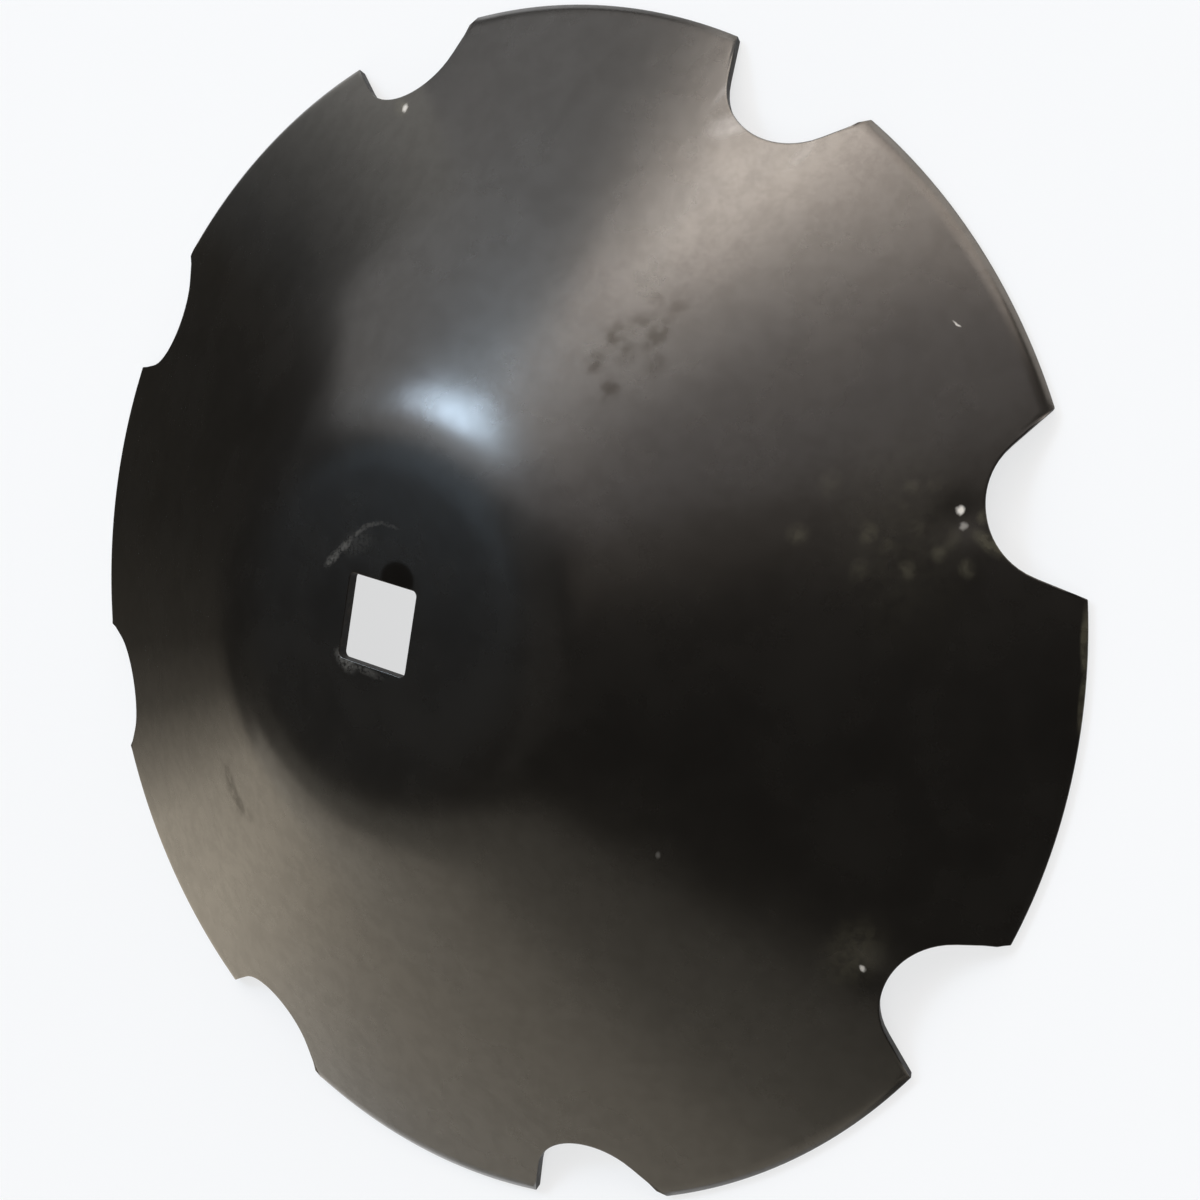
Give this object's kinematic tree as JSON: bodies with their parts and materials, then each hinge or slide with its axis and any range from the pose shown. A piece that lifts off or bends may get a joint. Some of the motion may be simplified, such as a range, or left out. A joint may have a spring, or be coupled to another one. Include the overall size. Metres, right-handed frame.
{
  "type": "notched disc blade",
  "caption": "Dished steel disc blade with round-bottomed notches in its rim and a square axle hole, for a disc harrow gang.",
  "frame": {"origin": "on the blade's axis, in the plane that the teeth rest on", "axes": "+Z along the blade's axis, out of the convex side; X and Y square to the axle hole's sides, and a tooth on each of them"},
  "size_m": [0.5599, 0.5598, 0.0974],
  "materials": {
    "coated_steel": "near-black semi-gloss coat on pressed steel, thin and lightly scuffed"
  },
  "bodies": {
    "root": {"disc_blade": "coated_steel"}
  },
  "joints": []
}
